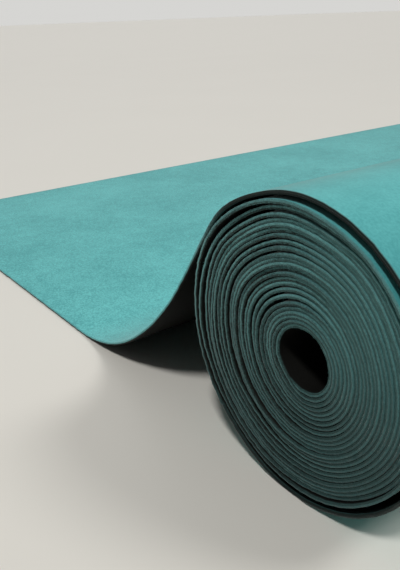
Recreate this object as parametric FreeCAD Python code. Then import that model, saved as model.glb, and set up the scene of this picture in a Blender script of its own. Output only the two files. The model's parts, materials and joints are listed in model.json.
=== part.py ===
"""A coreless roll of fibre-faced sheet, lying on its side with its free end drawn off over the top.

The sheet is two plies bonded face to face: a soft fibrous face ply, outside, and a dark rubber
backing ply, inside. It is wound anticlockwise outwards, seen from the near end. The outermost turn
leaves the coil near the top, comes down to the table in one sweep and lies flat as far as its cut
end. As sheet is drawn off, the coil turns inside the outermost turn, which keeps its shape.

Everything is drawn as a section in the X-Z plane, seen along +Y, and pushed along Y by the sheet's
width. A path is the sheet's inner or lower surface: a list of runs, each an arc or a straight line,
every one tangent to the next. A ply is the strip between two offsets from that path.

Millimetres. +Z is up, +Y runs along the coil to its far end, and +X points away from the free end.
The origin is the middle of the footprint, on the table. Paths are drawn about the coil's axis.
"""

import FreeCAD
import Part

import math
import os

# Driving dimensions
SHEET_WIDTH = 1000.0
BACKING_THICKNESS = 0.8
FACE_THICKNESS = 1.1
OUTER_RADIUS = 76.0          # of the outermost turn, which is a true circle about the coil's axis
BORE_RADIUS = 15.5
BORE_OFFSET = 6.4            # the bore lies this far right of the coil's axis: the left side is slacker
WRAPS = 24                   # full wraps round the first one, which is the bore's wall
LOOSE_WRAPS = 2              # outermost wraps that stand open on the left
LOOSE_PITCH = 4.0            # their spacing there
CLIMB_RADIUS = 10.0          # of the bend where the first wrap climbs over the sheet's inner end
SECOND_WRAP_LEFT = 13.2      # from the axis to the second wrap's inner surface, clear of the climb
LEAVING_ANGLE = 144.5        # where the sheet leaves the coil, in degrees anticlockwise from +X
SWEEP_KNEE_SLOPE = 33.0      # slope in degrees at which the sweep's curve tightens
SWEEP_UPPER_RADIUS = 233.0   # of the sheet's upper surface
SWEEP_LOWER_RADIUS = 144.0
LANDED_LENGTH = 20.0         # flat stretch that stays put where the sweep meets the table
LAID_LENGTH = 160.0          # flat stretch that slides as sheet is drawn off
FREE_END_LENGTH = 246.0      # flat stretch that can be lifted

# Clearances between stretches that move apart
TURNING_CLEARANCE = 0.3
END_GAP = 0.4

SHEET_THICKNESS = BACKING_THICKNESS + FACE_THICKNESS
OUTER_TURN_INNER = OUTER_RADIUS - SHEET_THICKNESS
COIL_INNER = OUTER_TURN_INNER - TURNING_CLEARANCE - SHEET_THICKNESS
RIGHT_PITCH = (COIL_INNER - BORE_OFFSET - BORE_RADIUS) / WRAPS


def arc(centre_x, centre_z, radius, start, end):
    """A run turning about a centre. Angles in degrees; end above start is anticlockwise."""
    return {"centre": (centre_x, centre_z), "radius": radius, "start": start, "end": end}


def line(start, end):
    """A straight run between two points."""
    return {"from": start, "to": end}


def unit(angle):
    """The direction at an angle in degrees, as (x, z)."""
    return math.cos(math.radians(angle)), math.sin(math.radians(angle))


def offset_edge(run, offset):
    """The run's edge, moved outwards: away from an anticlockwise arc's centre, to a line's right."""
    if "from" in run:
        (x0, z0), (x1, z1) = run["from"], run["to"]
        length = math.hypot(x1 - x0, z1 - z0)
        out_x, out_z = (z1 - z0) / length * offset, -(x1 - x0) / length * offset
        return Part.LineSegment(
            FreeCAD.Vector(x0 + out_x, 0, z0 + out_z), FreeCAD.Vector(x1 + out_x, 0, z1 + out_z)
        ).toShape()
    anticlockwise = run["end"] > run["start"]
    radius = run["radius"] + (offset if anticlockwise else -offset)
    points = []
    for angle in (run["start"], (run["start"] + run["end"]) / 2, run["end"]):
        x, z = unit(angle)
        points.append(
            FreeCAD.Vector(run["centre"][0] + radius * x, 0, run["centre"][1] + radius * z)
        )
    return Part.Arc(*points).toShape()


def ends(edge, run):
    """The edge's two end points in the order in which the run goes."""
    first, last = edge.Vertexes[0].Point, edge.Vertexes[-1].Point
    if "from" in run:
        x, z = run["from"][0], run["from"][1]
    else:
        x = run["centre"][0] + run["radius"] * unit(run["start"])[0]
        z = run["centre"][1] + run["radius"] * unit(run["start"])[1]
    start = FreeCAD.Vector(x, 0, z)
    if start.distanceToPoint(first) > start.distanceToPoint(last):
        first, last = last, first
    return first, last


def ply(path, inner, outer):
    """The strip between two offsets from the path, over the sheet's whole width."""
    inside = [offset_edge(run, inner) for run in path]
    outside = [offset_edge(run, outer) for run in path]
    caps = []
    for end, position in ((0, 0), (-1, 1)):
        foot = ends(inside[end], path[end])[position]
        top = ends(outside[end], path[end])[position]
        caps.append(Part.LineSegment(foot, top).toShape())
    outline = Part.__sortEdges__(inside + [caps[1]] + outside + [caps[0]])
    return Part.Face(Part.Wire(outline)).extrude(FreeCAD.Vector(0, SHEET_WIDTH, 0))


def first_wrap():
    """The bore's wall: a true circle, then a straight lift and a tight bend over the inner end."""
    second_radius = BORE_RADIUS + RIGHT_PITCH
    lift = math.sqrt(
        (second_radius - BORE_RADIUS) * (second_radius + BORE_RADIUS - 2 * CLIMB_RADIUS)
    )
    climb_angle = math.degrees(math.atan2(lift, BORE_RADIUS - CLIMB_RADIUS))
    leave = 270.0 - climb_angle
    (out_x, out_z), (along_x, along_z) = unit(leave), unit(leave + 90.0)
    foot = (BORE_OFFSET + BORE_RADIUS * out_x, BORE_RADIUS * out_z)
    top = (foot[0] + lift * along_x, foot[1] + lift * along_z)
    bend = (top[0] - CLIMB_RADIUS * out_x, top[1] - CLIMB_RADIUS * out_z)
    return [
        arc(BORE_OFFSET, 0, BORE_RADIUS, -90.0, leave),
        line(foot, top),
        arc(*bend, CLIMB_RADIUS, leave, 270.0),
        arc(BORE_OFFSET, 0, second_radius, 270.0, 360.0),
    ]


def left_inner(wrap):
    """How far left of the axis a wrap's inner surface lies."""
    loose = wrap - (WRAPS - LOOSE_WRAPS)
    if loose > 0:
        return COIL_INNER - LOOSE_PITCH * (LOOSE_WRAPS - loose)
    last_tight = COIL_INNER - LOOSE_PITCH * LOOSE_WRAPS
    share = (wrap - 1) / (WRAPS - 1 - LOOSE_WRAPS)
    return SECOND_WRAP_LEFT + (last_tight - SECOND_WRAP_LEFT) * share


def right_inner(wrap):
    """How far right of the axis a wrap's inner surface lies."""
    return BORE_OFFSET + BORE_RADIUS + RIGHT_PITCH * wrap


def coil_path():
    """Half circles about centres level with the axis, each starting where the last one ended.
    The last is a quarter circle, which ends at the bottom, under the start of the outermost turn."""
    path = first_wrap()
    for wrap in range(1, WRAPS):
        right, left, next_right = right_inner(wrap), left_inner(wrap), right_inner(wrap + 1)
        path.append(arc((right - left) / 2, 0, (right + left) / 2, 0.0, 180.0))
        path.append(arc((next_right - left) / 2, 0, (next_right + left) / 2, 180.0, 360.0))
    path.append(arc(0, 0, COIL_INNER, 0.0, 180.0))
    path.append(arc(0, 0, COIL_INNER, 180.0, 270.0))
    return path


def outer_path():
    """The outermost turn from the bottom, right way round and over the top, then the sweep down to
    the table and the start of the flat."""
    slope = LEAVING_ANGLE - 90.0
    out_x, out_z = unit(LEAVING_ANGLE)
    leave = (OUTER_TURN_INNER * out_x, OUTER_TURN_INNER * out_z)
    upper = SWEEP_UPPER_RADIUS + SHEET_THICKNESS
    lower = SWEEP_LOWER_RADIUS + SHEET_THICKNESS
    knee_x, knee_z = unit(SWEEP_KNEE_SLOPE)
    slope_x, slope_z = unit(slope)
    fall_in_curves = upper * (knee_x - slope_x) + lower * (1.0 - knee_x)
    straight = (leave[1] + OUTER_RADIUS - fall_in_curves) / slope_z
    foot = (leave[0] - straight * slope_x, leave[1] - straight * slope_z)
    upper_centre = (foot[0] - upper * slope_z, foot[1] + upper * slope_x)
    lower_centre = (
        upper_centre[0] + (upper - lower) * knee_z,
        upper_centre[1] - (upper - lower) * knee_x,
    )
    landing = (lower_centre[0], lower_centre[1] - lower)
    return [
        arc(0, 0, OUTER_TURN_INNER, -90.0, 0.0),
        arc(0, 0, OUTER_TURN_INNER, 0.0, LEAVING_ANGLE),
        line(leave, foot),
        arc(*upper_centre, upper, 270.0 + slope, 270.0 + SWEEP_KNEE_SLOPE),
        arc(*lower_centre, lower, 270.0 + SWEEP_KNEE_SLOPE, 270.0),
        line(landing, (landing[0] - LANDED_LENGTH, landing[1])),
    ]


def flat_path(right_end, length):
    """A flat stretch on the table, running left."""
    return [line((right_end, -OUTER_RADIUS), (right_end - length, -OUTER_RADIUS))]


def write(name, path, shift):
    """One stretch of sheet: its backing ply and its face ply, each in its own file."""
    backing = ply(path, 0.0, BACKING_THICKNESS)
    face = ply(path, BACKING_THICKNESS, SHEET_THICKNESS)
    for kind, solid in (("backing", backing), ("face", face)):
        solid.translate(shift)
        solid.exportStep(f"parts/{name}_{kind}_ply.step")


def main():
    os.makedirs("parts", exist_ok=True)
    outer = outer_path()
    laid_from = outer[-1]["to"][0] - END_GAP
    lifted_from = laid_from - LAID_LENGTH - END_GAP
    free_end = lifted_from - FREE_END_LENGTH
    middle = (OUTER_RADIUS + free_end) / 2
    shift = FreeCAD.Vector(-middle, -SHEET_WIDTH / 2, OUTER_RADIUS)
    write("coil", coil_path(), shift)
    write("outer_turn", outer, shift)
    write("laid", flat_path(laid_from, LAID_LENGTH), shift)
    write("free_end", flat_path(lifted_from, FREE_END_LENGTH), shift)


main()
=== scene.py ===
import json
import math
import random

import bmesh
import bpy
from mathutils import Matrix, Vector, noise
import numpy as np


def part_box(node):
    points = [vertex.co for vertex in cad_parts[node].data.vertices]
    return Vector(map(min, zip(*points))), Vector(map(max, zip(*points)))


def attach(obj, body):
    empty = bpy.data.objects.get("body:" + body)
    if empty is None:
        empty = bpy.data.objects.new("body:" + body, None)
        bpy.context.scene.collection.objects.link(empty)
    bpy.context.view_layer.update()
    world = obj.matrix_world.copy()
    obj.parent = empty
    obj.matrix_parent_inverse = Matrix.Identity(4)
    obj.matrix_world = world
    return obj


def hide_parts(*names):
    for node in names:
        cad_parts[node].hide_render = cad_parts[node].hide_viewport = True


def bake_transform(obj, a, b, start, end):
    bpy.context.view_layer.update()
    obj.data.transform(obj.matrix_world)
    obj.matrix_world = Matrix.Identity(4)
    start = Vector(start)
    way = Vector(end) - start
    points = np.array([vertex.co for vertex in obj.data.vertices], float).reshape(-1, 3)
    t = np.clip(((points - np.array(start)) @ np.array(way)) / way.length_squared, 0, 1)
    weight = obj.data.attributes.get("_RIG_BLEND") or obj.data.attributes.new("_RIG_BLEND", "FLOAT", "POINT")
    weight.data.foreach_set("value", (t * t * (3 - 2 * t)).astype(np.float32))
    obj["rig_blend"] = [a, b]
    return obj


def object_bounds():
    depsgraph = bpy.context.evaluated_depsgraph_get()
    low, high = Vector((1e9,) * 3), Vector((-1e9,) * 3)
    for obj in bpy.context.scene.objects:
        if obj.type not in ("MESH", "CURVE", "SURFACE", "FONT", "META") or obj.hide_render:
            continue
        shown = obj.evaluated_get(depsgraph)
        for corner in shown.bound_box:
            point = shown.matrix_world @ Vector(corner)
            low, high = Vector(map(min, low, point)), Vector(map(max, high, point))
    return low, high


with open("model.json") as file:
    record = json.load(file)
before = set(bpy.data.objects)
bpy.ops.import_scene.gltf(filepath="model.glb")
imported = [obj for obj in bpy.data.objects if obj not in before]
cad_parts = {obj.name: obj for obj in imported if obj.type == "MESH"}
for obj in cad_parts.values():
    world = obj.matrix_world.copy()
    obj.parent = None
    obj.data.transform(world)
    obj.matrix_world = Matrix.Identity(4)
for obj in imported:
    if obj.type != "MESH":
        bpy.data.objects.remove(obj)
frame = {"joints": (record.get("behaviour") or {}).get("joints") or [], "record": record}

# ---------------------------------------------------------------------------------------------
# Camera. It stands close to the near end of the coil, a little above it, and looks back along
# the sheet towards its free end. Its place is given in coil radii from the coil's lowest point.
# ---------------------------------------------------------------------------------------------
cad_low, cad_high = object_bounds()
joints = {joint["name"]: joint for joint in frame["joints"]}
axis_x, _, axis_z = joints["coil_turn"]["pos_m"]
near_y, far_y = cad_low.y, cad_high.y
coil_radius = axis_z

STANDPOINT = (2.4163, -2.3691, 2.8796)
HEADING, DIP, LEAN = math.radians(-54.40), math.radians(22.70), math.radians(-2.11)
LENS, SENSOR = 40.60, 36.0

forward = Vector(
    (math.sin(HEADING) * math.cos(DIP), math.cos(HEADING) * math.cos(DIP), -math.sin(DIP))
)
level_right = Vector((math.cos(HEADING), -math.sin(HEADING), 0.0))
level_up = level_right.cross(forward)
right = math.cos(LEAN) * level_right + math.sin(LEAN) * level_up
up = right.cross(forward)

camera_data = bpy.data.cameras.new("camera")
camera_data.lens, camera_data.sensor_width = LENS, SENSOR
camera_data.clip_start = 0.01
camera = bpy.data.objects.new("camera", camera_data)
camera.matrix_world = Matrix.Translation(
    Vector((axis_x, near_y, 0.0)) + coil_radius * Vector(STANDPOINT)
) @ Matrix((right, up, -forward)).transposed().to_4x4()
bpy.context.scene.collection.objects.link(camera)
bpy.context.scene.camera = camera
bpy.context.scene.view_settings.view_transform = "Standard"

# ---------------------------------------------------------------------------------------------
# The coil's wraps: one long sheet, teal fibre bonded to black rubber, wound anticlockwise outwards
# from the bore, which has no core. The plies were cut together, so every wrap's edge shows both.
# The wraps lie tight on the right and stand open on the left, where the coil has slackened.
# ---------------------------------------------------------------------------------------------
bore = next(mount for mount in frame["record"]["mounts"] if mount["name"] == "bore")
BORE_RADIUS = bore["dims"]["r_mm"] / 1000
BORE_OFFSET = bore["pos_m"][0] - axis_x
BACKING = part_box("laid_backing_ply")[1].z
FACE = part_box("laid_face_ply")[1].z - BACKING
TURNING_CLEARANCE = 0.0003
COIL_INNER = coil_radius - 2 * (BACKING + FACE) - TURNING_CLEARANCE
WRAPS = 24
LOOSE_WRAPS = 2              # outermost wraps that stand open on the left
LOOSE_PITCH = 0.0040         # their spacing there
FIRST_LEFT = 0.0074          # from the axis to the bore's wall on the left
INNER_END = 200.0            # degrees round the bore at which the sheet's inner end lies
JOIN = 225.0                 # degrees round the axis at which the outermost turn begins
SLACK_SEED, LEAST_SLACK, SLACK_CONTRAST = 4, 0.12, 2.5
RIGHT_PITCH = (COIL_INNER - BORE_OFFSET - BORE_RADIUS) / WRAPS
TIGHT_FROM, TIGHT_TO = axis_x - 0.02, axis_x + 0.03
SLACK_FROM, SLACK_TO = axis_x - 0.055, axis_x - 0.070
COLUMN = 0.0016              # length of sheet from one row of vertices to the next
MERGE_DISTANCE = 2e-6
EDGE_BEVEL = 0.00013
SHARP = math.radians(50)     # an edge that turns by more than this is a corner
FACING = 0.4                 # least share of a cut face's normal that points the way of the cut
CUT_ZONE = 0.99 * far_y      # cut edges lie further from the sheet's middle than this
END_ZONE = 0.002


class Signal:
    """An output socket of a node. Arithmetic on it adds Math nodes."""

    def __init__(self, nodes, socket):
        self.nodes, self.socket = nodes, socket

    def math(self, operation, *values):
        return self.nodes.node("ShaderNodeMath", {"operation": operation}, *values)

    def __add__(self, other):
        return self.math("ADD", self, other)

    def __sub__(self, other):
        return self.math("SUBTRACT", self, other)

    def __rsub__(self, other):
        return self.math("SUBTRACT", other, self)

    def __mul__(self, other):
        return self.math("MULTIPLY", self, other)

    __radd__, __rmul__ = __add__, __mul__

    def between(self, low, high):
        """0 where the signal is low or less, 1 where it is high or more, and smooth between."""
        settings = {"interpolation_type": "SMOOTHSTEP"}
        return self.nodes.node("ShaderNodeMapRange", settings, self, low, high)


class Nodes:
    """The nodes of a material or a world."""

    def __init__(self, owner):
        owner.use_nodes = True
        self.tree = owner.node_tree

    def node(self, kind, settings=None, *values, output=0, **named):
        """Adds a node, sets it up, and then gives its inputs their values or links."""
        made = self.tree.nodes.new(kind)
        for key, value in (settings or {}).items():
            setattr(made, key, value)
        for key, value in [*enumerate(values), *named.items()]:
            if isinstance(value, Signal):
                self.tree.links.new(value.socket, made.inputs[key])
            elif value is not None:
                made.inputs[key].default_value = value
        return Signal(self, made.outputs[output])

    def axes(self, vector):
        """A vector's x, y and z."""
        split = self.node("ShaderNodeSeparateXYZ", None, vector)
        return [Signal(self, socket) for socket in split.socket.node.outputs]


class Finish(Nodes):
    """A material being made: its nodes, and the Principled shader that they feed."""

    def __init__(self, name, **constants):
        self.material = bpy.data.materials.new(name)
        super().__init__(self.material)
        self.shader = self.tree.nodes["Principled BSDF"]
        for socket, value in constants.items():
            self.shader.inputs[socket.replace("_", " ")].default_value = value
        self.place = self.node("ShaderNodeTexCoord", output="Object")
        self.x, _, self.z = self.axes(self.place)

    def noise(self, scale, detail=2.0, roughness=0.5):
        return self.node(
            "ShaderNodeTexNoise", Vector=self.place, Scale=scale, Detail=detail,
            Roughness=roughness,
        )

    def attribute(self, name):
        return self.node("ShaderNodeAttribute", {"attribute_name": name}, output="Fac")

    def wrap_tone(self, scale, seed):
        """A tone that changes slowly along the sheet, so that it differs from wrap to wrap."""
        settings = {"noise_dimensions": "1D"}
        along = self.attribute("along") + seed
        return self.node("ShaderNodeTexNoise", settings, W=along, Scale=scale, Detail=1.0)

    def tight_side(self):
        """1 where the wraps lie tight, right of the axis, and 0 left of it."""
        return self.x.between(TIGHT_FROM, TIGHT_TO)

    def slack_side(self):
        """1 on the far left, among the loose wraps, and 0 elsewhere."""
        return 1.0 - self.x.between(SLACK_TO, SLACK_FROM)

    def mix(self, share, low, high):
        """The colour low where share is 0 and high where it is 1."""
        settings = {"data_type": "RGBA"}
        made = self.node("ShaderNodeMix", settings, share, output=2)
        for place, colour in ((6, low), (7, high)):
            socket = made.socket.node.inputs[place]
            if isinstance(colour, Signal):
                self.tree.links.new(colour.socket, socket)
            else:
                socket.default_value = (*colour, 1.0)
        return made

    def feed(self, socket, signal):
        self.tree.links.new(signal.socket, self.shader.inputs[socket])

    def bump(self, height, strength, distance):
        made = self.node("ShaderNodeBump", None, strength, distance, Height=height)
        self.feed("Normal", made)


def cut_colour(finish, share, dull, bright):
    """The colour of a cut edge, darkened towards the table by painted shade. The "cut" mark is 1
    where the edge is bare, and 2 where it is painted nearly black as shade."""
    painted_shade_black, painted_shade_edge = (0.0, 0.0, 0.0), (0.009, 0.018, 0.017)
    # painted shade: lower down, the cut edge is mixed towards black as shade towards the table
    unshaded_share = finish.z.between(0.040, 0.130) * 0.58 + 0.42
    colour = finish.mix(unshaded_share, painted_shade_black, finish.mix(share, dull, bright))
    # painted shade: where the cut mark is 2, the edge is painted nearly black as shade
    return finish.mix(finish.attribute("cut").between(1.0, 2.0), colour, painted_shade_edge)


def fibre_face():
    """Matt teal flock: short fibres standing on the ply, paler and darker in small patches. Winding
    has smoothed them round the coil, and its right side is darkened by painted shade."""
    finish = Finish(
        "teal_fibre_face", Roughness=0.75, Sheen_Weight=0.50, Sheen_Roughness=0.38,
        Sheen_Tint=(0.92, 0.97, 0.95, 1.0), Specular_IOR_Level=0.15,
    )
    fibres = finish.noise(1500.0, 3.0, 0.70)
    tufts = finish.noise(760.0, 2.0, 0.60).between(0.26, 0.74)
    patches = finish.noise(70.0, 3.0, 0.60)
    lay = finish.noise(9.0, 3.0, 0.55)
    loft = 1.0 - finish.z.between(0.01, 0.11) * 0.72
    grain = (fibres * 1.40 + tufts * 1.10 - 1.25) * loft
    # painted shade: the coil's right side is darkened in the colour
    painted_shade_right = finish.x.between(axis_x + 0.01, axis_x + 0.07) * 0.68
    shade = grain + patches * 0.80 + lay * 1.20 - painted_shade_right - 0.50
    teal = finish.mix(shade, (0.064, 0.345, 0.364), (0.150, 0.575, 0.585))
    tone = finish.wrap_tone(7.0, 3.0).between(0.38, 0.62) - 0.5
    fleck = finish.noise(1000.0, 3.0, 0.75).between(0.34, 0.66) - 0.5
    fluff = (fleck * 0.65 + tone * 0.55) * (1.0 - finish.tight_side() * 0.60)
    fluff = fluff + finish.slack_side() * 0.45 + 0.50
    cut = cut_colour(finish, fluff, (0.029, 0.090, 0.092), (0.146, 0.385, 0.390))
    bare = finish.attribute("cut").between(0.0, 1.0)
    finish.feed("Base Color", finish.mix(bare, teal, cut))
    finish.bump(fibres * loft, 0.30, 0.0004)
    return finish.material


def rubber_backing():
    """Matt black rubber with a fine grain. Where it was cut, fibre from the face dusts it."""
    finish = Finish("black_rubber_backing", Roughness=0.66, Specular_IOR_Level=0.15)
    grain = finish.noise(1900.0, 3.0, 0.60)
    rub = finish.noise(35.0, 3.0, 0.50)
    worn = rub * 0.6 + grain * 0.4
    black = finish.mix(worn, (0.0028, 0.0030, 0.0028), (0.0080, 0.0080, 0.0070))
    tight = finish.tight_side()
    fleck = finish.noise(900.0, 3.0, 0.75).between(0.34, 0.66) - 0.5
    tone = finish.wrap_tone(9.0, 8.0).between(0.36, 0.64) - 0.5
    dust = (fleck * 0.55 + tone * 0.40) * (1.0 - tight * 0.55) + tight * 0.40
    dust = dust - finish.slack_side() * 0.35 + 0.25
    cut = cut_colour(finish, dust, (0.020, 0.028, 0.025), (0.088, 0.218, 0.216))
    bare = finish.attribute("cut").between(0.0, 1.0)
    finish.feed("Base Color", finish.mix(bare, black, cut))
    finish.bump(grain, 0.45, 0.0004)
    return finish.material


face_finish = fibre_face()
PLIES = (("face", FACE, face_finish), ("backing", -BACKING, rubber_backing()))


def swept(start, runs, stations, column, length=0.0):
    """A strip as wide as the stations, taken from its start, x and z, through a list of runs. A run
    is a turn about a centre, in degrees, or a straight draw. Each vertex keeps how far along the
    whole sheet it lies. Returns the strip and how far along the sheet it ends."""
    strip = bmesh.new()
    strip.verts.layers.float.new("along")
    x, z = start
    for centre, draw, degrees in runs:
        radius = math.hypot(x - centre[0], z - centre[1])
        reach = abs(math.radians(degrees)) * radius + math.hypot(*draw)
        steps = max(2, math.ceil(reach / column))
        run = bmesh.new()
        along = run.verts.layers.float.new("along")
        row = [run.verts.new((x, y, z)) for y in stations]
        row += [run.edges.new(pair) for pair in zip(row, row[1:])]
        bmesh.ops.spin(
            run, geom=row, cent=(centre[0], 0, centre[1]), axis=(0, -1, 0),
            angle=math.radians(degrees), dvec=(draw[0] / steps, 0, draw[1] / steps), steps=steps,
        )
        for index, vert in enumerate(run.verts):
            vert[along] = length + reach * (index // len(stations)) / steps
        part = bpy.data.meshes.new("run")
        run.to_mesh(part)
        run.free()
        strip.from_mesh(part)
        bpy.data.meshes.remove(part)
        spoke = Matrix.Rotation(math.radians(degrees), 2) @ Vector((x - centre[0], z - centre[1]))
        x, z = centre[0] + spoke.x + draw[0], centre[1] + spoke.y + draw[1]
        length += reach
    bmesh.ops.remove_doubles(strip, verts=strip.verts, dist=MERGE_DISTANCE)
    bmesh.ops.recalc_face_normals(strip, faces=strip.faces)
    strip.faces.ensure_lookup_table()
    first = strip.faces[0]
    if first.normal.dot(first.calc_center_median() - Vector((axis_x, 0, axis_z))) < 0:
        bmesh.ops.reverse_faces(strip, faces=strip.faces)
    return strip, length


def turn(centre_x, degrees, centre_z=axis_z):
    """A run of the sheet round a centre, anticlockwise where the degrees are above 0."""
    return (centre_x, centre_z), (0.0, 0.0), degrees


TIGHT_WRAPS = WRAPS - LOOSE_WRAPS
LAST_TIGHT = COIL_INNER - LOOSE_PITCH * LOOSE_WRAPS
slack_dice = random.Random(SLACK_SEED)
slack_shares = [
    slack_dice.random() ** SLACK_CONTRAST + LEAST_SLACK for _ in range(TIGHT_WRAPS)
]
slack_unit = (LAST_TIGHT - FIRST_LEFT - TIGHT_WRAPS * (BACKING + FACE)) / sum(slack_shares)


def left_inner(wrap):
    """How far left of the axis a wrap's inner surface lies. The slack isn't shared evenly: some
    wraps lie close together, and others stand apart."""
    loose = wrap - TIGHT_WRAPS
    if loose > 0:
        return COIL_INNER - LOOSE_PITCH * (LOOSE_WRAPS - loose)
    return FIRST_LEFT + wrap * (BACKING + FACE) + slack_unit * sum(slack_shares[:wrap])


def right_inner(wrap):
    """How far right of the axis a wrap's inner surface lies."""
    return BORE_OFFSET + BORE_RADIUS + RIGHT_PITCH * wrap


def wound():
    """The start of the bond line, at the sheet's inner end, and its turns from there to where it
    becomes the outermost turn."""
    radius = (right_inner(0) + FIRST_LEFT) / 2
    centre_x = axis_x + (right_inner(0) - FIRST_LEFT) / 2
    bond, angle = radius + BACKING, math.radians(INNER_END)
    start = (centre_x + bond * math.cos(angle), axis_z + bond * math.sin(angle))
    turns = [turn(centre_x, 360.0 - INNER_END)]
    for wrap in range(WRAPS):
        here, after, left = right_inner(wrap), right_inner(wrap + 1), left_inner(wrap + 1)
        under = 180.0 if wrap < WRAPS - 1 else JOIN - 180.0
        turns.append(turn(axis_x + (here - left) / 2, 180.0))
        turns.append(turn(axis_x + (after - left) / 2, under))
    return start, turns


FLAT_SIDE = Vector((-0.620, -0.785))
FLAT_DEPTH, FLAT_SHARPNESS, FLAT_REACH = 0.0024, 5.0, 0.014
LEAN_DEPTH, LEAN_ROUND, LEAN_ALONG, LEAN_AT_BORE = 0.0016, 28.0, 1.5, 0.2
RIM_KEPT = 0.012             # the lean dies out over this depth towards the rim and the bore
SINK, TOP_SINK, TOP_SINK_AT, TOP_SINK_SPAN = 0.0004, 0.0013, 75.0, 55.0


def bell(value, middle, span):
    """1 at the middle, falling smoothly to nothing on both sides."""
    return math.exp(-(((value - middle) / span) ** 2))


def within_one(value):
    return min(1.0, max(0.0, value))


def relaxed(point):
    """Where a point of the section goes as the coil slackens under its own weight: the bore is
    pressed flat on its lower left, the wraps lean in and out a little together, and the outer ones
    draw in from the outermost turn."""
    x, z = point.x - axis_x, point.z - axis_z
    from_bore = Vector((x - BORE_OFFSET, z))
    out = from_bore.normalized()
    reach = max(0.0, from_bore.length - BORE_RADIUS)
    flat = out.dot(FLAT_SIDE)
    push = -FLAT_DEPTH * max(0.0, flat) ** FLAT_SHARPNESS * math.exp(-reach / FLAT_REACH)
    lean = noise.noise(Vector((x * LEAN_ROUND, point.y * LEAN_ALONG, z * LEAN_ROUND)))
    depth = coil_radius - Vector((x, z)).length
    freedom = within_one(depth / RIM_KEPT) * within_one(reach / RIM_KEPT + LEAN_AT_BORE)
    push += lean * LEAN_DEPTH * freedom
    angle = math.degrees(math.atan2(z, x))
    sink = SINK + TOP_SINK * bell(angle, TOP_SINK_AT, TOP_SINK_SPAN)
    push -= sink * min(1.0, reach / (coil_radius - BORE_RADIUS))
    return Vector((point.x + out.x * push, point.y, point.z + out.y * push))


def ply(bond, thickness, cut_ends=(), bare=lambda vert: 1.0):
    """One ply, made of a copy of the bond line: given its thickness, outwards if that is positive,
    with its cut edges rounded. Each vertex of a cut edge is marked with how bare the cut lies. The
    strip's ends are cut only at the values of x given."""
    bm = bond.copy()
    bm.normal_update()
    bmesh.ops.solidify(bm, geom=bm.faces[:], thickness=-thickness)
    bmesh.ops.recalc_face_normals(bm, faces=bm.faces)
    bm.normal_update()

    def is_cut(face):
        middle = face.calc_center_median()
        side = abs(face.normal.y) > FACING and abs(middle.y) > CUT_ZONE
        return side or any(
            abs(middle.x - end) < END_ZONE and abs(face.normal.x) > FACING for end in cut_ends
        )

    rims = [
        edge for edge in bm.edges
        if edge.calc_face_angle(0.0) > SHARP and any(map(is_cut, edge.link_faces))
    ]
    bmesh.ops.bevel(
        bm, geom=rims, affect="EDGES", offset=EDGE_BEVEL, offset_type="OFFSET", segments=1,
        profile=0.5, material=-1, clamp_overlap=True,
    )
    bm.normal_update()
    cut = bm.verts.layers.float.new("cut")
    for face in filter(is_cut, bm.faces):
        for vert in face.verts:
            vert[cut] = bare(vert)
    for face in bm.faces:
        face.smooth = True
    for edge in bm.edges:
        edge.smooth = edge.calc_face_angle(0.0) < SHARP
    return bm


def add_piece(name, bm, finish):
    """Turns a finished bmesh into an object with its finish."""
    mesh = bpy.data.meshes.new(name)
    bm.to_mesh(mesh)
    bm.free()
    mesh.materials.append(finish)
    piece = bpy.data.objects.new(name, mesh)
    bpy.context.scene.collection.objects.link(piece)
    return piece


EDGE_STRIPS = (0.0012, 0.008)
COIL_STATIONS = [near_y + strip for strip in (0.0, *EDGE_STRIPS)] + [0.0]
COIL_STATIONS += [far_y - strip for strip in (*reversed(EDGE_STRIPS), 0.0)]
PROUD, PROUD_SLOW, PROUD_QUICK, DRAWN_IN = 0.0021, 0.7, 0.5, 0.45
SLOW_RATE, QUICK_RATE, RAGGED_RATE, DRIFT_RATE = 4.0, 15.0, 430.0, 6.0
LEVELLED = 0.55              # share of the wander that the tight right side takes away
FLAT_WANDER, WANDER_FADE = 0.12, 0.25
RAGGED = 0.00035
SLIP, SLIP_BACK, SLIP_SPAN = 0.0020, 0.25, 0.22


def wobble(travel, rate, row, layer):
    """A smooth random number about 0 that changes along the sheet, at a rate per metre."""
    return noise.noise(Vector((travel * rate, row, layer)))


def edge_shift(travel, side, right):
    """How far beyond the sheet's width its cut edge lies, at one side. The edge wanders, least on
    the right, where the coil is tight, and hardly at all once it has left the coil. The coil's last
    wrap has slipped towards the near end."""
    slow = wobble(travel, SLOW_RATE, side * 5, 0.5)
    quick = wobble(travel, QUICK_RATE, side * 7, 4.5)
    ragged = wobble(travel, RAGGED_RATE, side * 9, 2.5)
    loose = max(FLAT_WANDER, within_one((coil_length + WANDER_FADE - travel) / WANDER_FADE))
    slip = bell(travel, coil_length - SLIP_BACK, SLIP_SPAN) * SLIP
    wander = (slow * PROUD_SLOW + quick * PROUD_QUICK) * (1.0 - LEVELLED * right) - DRAWN_IN
    return wander * PROUD * loose + ragged * RAGGED - side * slip


def trimmed(strip):
    """Moves the strip's two long edges to where they were cut."""
    along = strip.verts.layers.float["along"]
    for vert in strip.verts:
        if abs(vert.co.y) > far_y - EDGE_STRIPS[1] / 2:
            side = math.copysign(1.0, vert.co.y)
            right = within_one((vert.co.x - TIGHT_FROM) / (TIGHT_TO - TIGHT_FROM))
            vert.co.y += side * edge_shift(vert[along], side, right)


SKIVED, SKIVED_DEPTH = 0.022, 0.9   # length over which the sheet's inner end thins, and how far
FIBRE_LENGTH, FIBRE_WIDTH = 0.0012, 0.00015
FIBRE_COUNT, FIBRE_SEED = 6, 11     # at each vertex of the cut edge
FIBRES_TIGHT_FROM = axis_x + 0.01   # half as many fibres stand out of the wraps right of here


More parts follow.
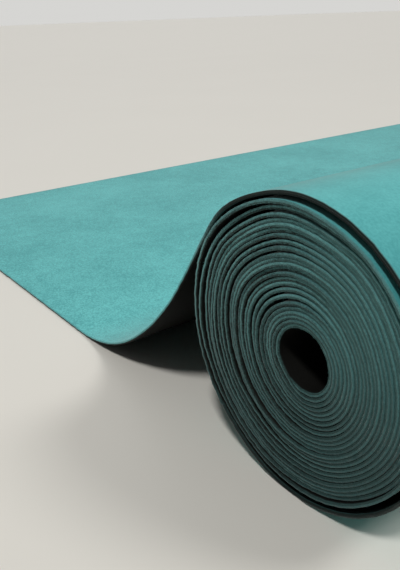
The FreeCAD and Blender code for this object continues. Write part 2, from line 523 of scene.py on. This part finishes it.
def fuzz(strip, outward, count, seed):
    """Loose fibres that stand out of the face ply along its two cut edges, each a thin blade."""
    dice = random.Random(seed)
    along = strip.verts.layers.float["along"]
    bm = bmesh.new()
    tone = bm.verts.layers.float.new("along")
    cut = bm.verts.layers.float.new("cut")
    for vert in strip.verts:
        if not vert.is_boundary or abs(vert.co.y) < CUT_ZONE or vert[along] < SKIVED:
            continue
        side = math.copysign(1.0, vert.co.y)
        out = outward(vert.co)
        round_coil = Vector((out.z, 0, -out.x))
        for _ in range(count // 2 if vert.co.x > FIBRES_TIGHT_FROM else count):
            root = vert.co + out * dice.uniform(-0.7, 0.9) * FACE
            root += round_coil * dice.uniform(-1, 1) * COLUMN
            lean = dice.uniform(-math.pi, math.pi)
            flat = out * math.sin(lean) + round_coil * math.cos(lean)
            length = dice.uniform(0.25, 1.0) * FIBRE_LENGTH
            beyond = Vector((0, side, 0))
            tip = root + flat * length + beyond * dice.uniform(0.1, 0.5) * length
            across = flat.cross(beyond) * FIBRE_WIDTH / 2
            blade = [bm.verts.new(place) for place in (root - across, root + across, tip)]
            for corner in blade:
                corner[tone] = vert[along]
                corner[cut] = 1.0
            bm.faces.new(blade)
    return bm


def from_bore(point):
    """The outward direction at a point of the coil."""
    return Vector((point.x - axis_x - BORE_OFFSET, 0, point.z - axis_z)).normalized()


DRIFT_RIGHT, DRIFT_LEFT = 0.00012, 0.00036
DRIFT_FADE = 0.3             # length before the outermost turn over which the drift dies out
LAST_WRAP = 0.48             # length of the coil's last wrap, whose slipped edge shows clean face
DUSTED = 0.004               # depth to which the other wraps' faces are as dull as their edges

coil_start, coil_runs = wound()
coil_bond, coil_length = swept(coil_start, coil_runs, COIL_STATIONS, COLUMN)
trimmed(coil_bond)
along = coil_bond.verts.layers.float["along"]
for vert in coil_bond.verts:
    vert.co = relaxed(vert.co)
    out = (vert.co - Vector((axis_x, vert.co.y, axis_z))).normalized()
    drift = wobble(vert[along], DRIFT_RATE, 3.5, 1.5)
    drift *= DRIFT_RIGHT + (DRIFT_LEFT - DRIFT_RIGHT) * (0.5 - 0.5 * out.x)
    vert.co += out * drift * within_one((coil_length - vert[along]) / DRIFT_FADE)

for kind, thickness, finish in PLIES:
    bm = ply(coil_bond, thickness)
    along = bm.verts.layers.float["along"]
    cut = bm.verts.layers.float["cut"]
    for vert in bm.verts:
        rim = kind == "face" and abs(vert.co.y) > far_y - DUSTED
        if rim and vert[along] < coil_length - LAST_WRAP:
            vert[cut] = 1.0
        if vert[along] < SKIVED:
            out = from_bore(vert.co)
            middle = Vector((axis_x + BORE_OFFSET, vert.co.y, axis_z))
            outside = (right_inner(0) + FIRST_LEFT) / 2 + BACKING + FACE
            gap = max(0.0, outside - (vert.co - middle).length)
            vert.co += out * gap * (1 - vert[along] / SKIVED) * SKIVED_DEPTH
    piece = add_piece(f"coil_{kind}", bm, finish)
    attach(piece, "coil")
    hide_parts(f"coil_{kind}_ply")
fibre_blades = fuzz(coil_bond, from_bore, FIBRE_COUNT, FIBRE_SEED)
fibres = add_piece("coil_edge_fibres", fibre_blades, face_finish)
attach(fibres, "coil")
coil_bond.free()

# ---------------------------------------------------------------------------------------------
# The outermost turn: the same sheet, which climbs out of the coil at its lower left, passes under
# it, round the right and over the top, and comes down to the table in one free sweep. It keeps this
# shape as sheet is drawn off.
# ---------------------------------------------------------------------------------------------
OUTER_INNER = coil_radius - BACKING - FACE
LOWEST, LEAVING_ANGLE, KNEE_SLOPE = 270.0, 144.5, 33.0
UPPER_RADIUS, LOWER_RADIUS = 0.233, 0.144
SHEET_COLUMN = 0.003
landed_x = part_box("outer_turn_face_ply")[0].x
slope = math.radians(LEAVING_ANGLE - 90.0)
knee = math.radians(KNEE_SLOPE)
upper, lower = UPPER_RADIUS + FACE, LOWER_RADIUS + FACE
bond_radius = OUTER_INNER + BACKING
leave = Vector((axis_x - bond_radius * math.sin(slope), axis_z + bond_radius * math.cos(slope)))
fall = upper * (math.cos(knee) - math.cos(slope)) + lower * (1.0 - math.cos(knee))
straight = (leave.y - BACKING - fall) / math.sin(slope)
downhill = Vector((-math.cos(slope), -math.sin(slope)))
foot = leave + straight * downhill
upper_centre = foot + upper * Vector((-math.sin(slope), math.cos(slope)))
lower_centre = upper_centre + (upper - lower) * Vector((math.sin(knee), -math.cos(knee)))
touch_down_x = lower_centre.x

outer_runs = [
    turn(axis_x, 360.0 - JOIN),
    turn(axis_x, LEAVING_ANGLE),
    (tuple(leave), tuple(straight * downhill), 0.0),
    turn(upper_centre.x, -math.degrees(slope - knee), upper_centre.y),
    turn(lower_centre.x, -KNEE_SLOPE, lower_centre.y),
    ((touch_down_x, BACKING), (landed_x - touch_down_x, 0.0), 0.0),
]
HALF_STATIONS = 12           # even steps from the sheet's edge to its middle
SHEET_STATIONS = [near_y + strip for strip in (0.0, *EDGE_STRIPS)]
SHEET_STATIONS += [near_y * (1 - step / HALF_STATIONS) for step in range(1, 2 * HALF_STATIONS)]
SHEET_STATIONS += [far_y - strip for strip in (*reversed(EDGE_STRIPS), 0.0)]
KNUCKLE = 108.0              # degrees round the coil where the outermost turn sinks towards it
KNUCKLE_DEPTH, KNUCKLE_SPAN = 0.0009, 14.0
SHOULDER, SHOULDER_RISE, SHOULDER_SPAN = 131.0, 0.0005, 10.0
# round the coil the cut edge takes the painted shade mark; on the table fibre mostly covers it
PAINTED_SHADE_ROUND_COIL, BARE_ON_TABLE = 2.0, 0.35


def settled(point):
    """Where a point of the outermost turn lies: it climbs out of the coil under its left side, and
    has slumped a little near the top."""
    x, z = point.x - axis_x, point.z - axis_z
    out = Vector((x, z)).normalized()
    angle = math.degrees(math.atan2(z, x))
    climbing = JOIN - 361.0 < angle < LOWEST - 360.0
    if climbing and z < 0 and Vector((x, z)).length < coil_radius:
        climbed = 0.5 - 0.5 * math.cos(math.pi * (angle + 360.0 - JOIN) / (LOWEST - JOIN))
        climb = OUTER_INNER - COIL_INNER
        inward = Vector((point.x - out.x * climb, point.y, point.z - out.y * climb))
        return relaxed(inward).lerp(point, climbed)
    push = SHOULDER_RISE * bell(angle, SHOULDER, SHOULDER_SPAN)
    push -= KNUCKLE_DEPTH * bell(angle, KNUCKLE, KNUCKLE_SPAN)
    return Vector((point.x + out.x * push, point.y, point.z + out.y * push))


def bare_past_coil(vert):
    """How bare the cut edge lies: painted shade round the coil, fibre-covered down the sweep."""
    on_coil = within_one((vert.co.x - leave.x) / (0.5 * coil_radius) + 0.5)
    return BARE_ON_TABLE + (PAINTED_SHADE_ROUND_COIL - BARE_ON_TABLE) * on_coil


start_angle = math.radians(JOIN)
outer_start = (
    axis_x + bond_radius * math.cos(start_angle), axis_z + bond_radius * math.sin(start_angle)
)
outer_bond, outer_end = swept(outer_start, outer_runs, SHEET_STATIONS, SHEET_COLUMN, coil_length)
trimmed(outer_bond)
for vert in outer_bond.verts:
    vert.co = settled(vert.co)
for kind, thickness, finish in PLIES:
    bm = ply(outer_bond, thickness, bare=bare_past_coil)
    piece = add_piece(f"outer_turn_{kind}", bm, finish)
    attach(piece, "outer_turn")
    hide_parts(f"outer_turn_{kind}_ply")
    flat = (far_y - near_y, outer_end - coil_length)
outer_bond.free()

# ---------------------------------------------------------------------------------------------
# The laid stretch: the same sheet lying flat between the sweep and the free end. As sheet is drawn
# off the coil it grows, so it is joined to the sweep at one end and slides away at the other.
# ---------------------------------------------------------------------------------------------
hinge_x = joints["free_end_lift"]["pos_m"][0]


def flat_bond(right_x, left_x, length):
    """The bond line of a flat stretch of sheet, from its right end to its left end."""
    strip, end = swept(
        (right_x, BACKING), [((right_x, BACKING), (left_x - right_x, 0.0), 0.0)], SHEET_STATIONS,
        SHEET_COLUMN, length,
    )
    strip.faces.ensure_lookup_table()
    if strip.faces[0].normal.z < 0:
        bmesh.ops.reverse_faces(strip, faces=strip.faces)
    trimmed(strip)
    return strip, end


laid_bond, laid_end = flat_bond(landed_x, hinge_x, outer_end)
for kind, thickness, finish in PLIES:
    bm = ply(laid_bond, thickness, bare=lambda vert: BARE_ON_TABLE)
    piece = add_piece(f"laid_{kind}", bm, finish)
    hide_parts(f"laid_{kind}_ply")
    laid_end - outer_end
    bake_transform(piece, "outer_turn", "laid", start=(landed_x, 0, 0), end=(hinge_x, 0, 0))
laid_bond.free()

# ---------------------------------------------------------------------------------------------
# The free end: the last of the sheet, with its square cut end. It lies flat, and bends up off the
# table in an even curve when it is lifted.
# ---------------------------------------------------------------------------------------------
end_x = cad_low.x
BEND_LENGTH = 0.10

free_bond, free_end = flat_bond(hinge_x, end_x, laid_end)
for kind, thickness, finish in PLIES:
    bm = ply(free_bond, thickness, cut_ends=(end_x,), bare=lambda vert: BARE_ON_TABLE)
    piece = add_piece(f"free_end_{kind}", bm, finish)
    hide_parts(f"free_end_{kind}_ply")
    free_end - laid_end
    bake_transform(piece, "laid", "free_end", start=(hinge_x, 0, 0), end=(hinge_x - BEND_LENGTH, 0, 0))
free_bond.free()

# ---------------------------------------------------------------------------------------------
# Studio: a pale, faintly glossy table under a soft sky, brighter on the left, with one window
# behind and one in front, both high on the right.
# ---------------------------------------------------------------------------------------------
TABLE_DROP, TABLE_HALF = 0.00006, 60.0
table_bm = bmesh.new()
bmesh.ops.create_grid(table_bm, x_segments=2, y_segments=2, size=TABLE_HALF)
bmesh.ops.translate(table_bm, verts=table_bm.verts, vec=(0, 0, -TABLE_DROP))
table_finish = Finish("pale_table", Roughness=0.34, Specular_IOR_Level=0.30)
cloud = table_finish.noise(3.0, 2.0, 0.5)
pale = table_finish.mix(cloud, (0.735, 0.718, 0.675), (0.760, 0.742, 0.700))
table_finish.feed("Base Color", pale)
table = add_piece("table", table_bm, table_finish.material)

HORIZON_LIGHT, OVERHEAD_LIGHT, LEFT_LIGHT, BACKDROP_LIGHT = 0.03, 0.14, 0.54, 0.70
world = bpy.data.worlds.new("studio")
sky = Nodes(world)
rightward, backward, upward = sky.axes(sky.node("ShaderNodeTexCoord", output="Generated"))
leftward = backward * 0.5 - rightward * 0.87
glow = upward.math("MAXIMUM", upward, 0.0) * OVERHEAD_LIGHT
glow = glow + leftward.math("MAXIMUM", leftward, 0.0) * LEFT_LIGHT + HORIZON_LIGHT
seen = sky.node("ShaderNodeLightPath")
glow = glow * (1.0 - seen) + seen * BACKDROP_LIGHT
background = sky.tree.nodes["Background"]
background.inputs["Color"].default_value = (0.96, 0.955, 0.93, 1.0)
sky.tree.links.new(glow.socket, background.inputs["Strength"])
bpy.context.scene.world = world


def window(name, toward, strength, spread):
    """A broad, even light from far off."""
    data = bpy.data.lights.new(name, "SUN")
    data.energy, data.angle, data.color = strength, math.radians(spread), (1.0, 0.985, 0.955)
    light = bpy.data.objects.new(name, data)
    light.matrix_world = Vector(toward).to_track_quat("Z", "Y").to_matrix().to_4x4()
    bpy.context.scene.collection.objects.link(light)


window("back_window", (0.60, 0.60, 1.0), 1.01, 16.0)
window("front_window", (0.35, -0.425, 1.0), 1.62, 8.0)
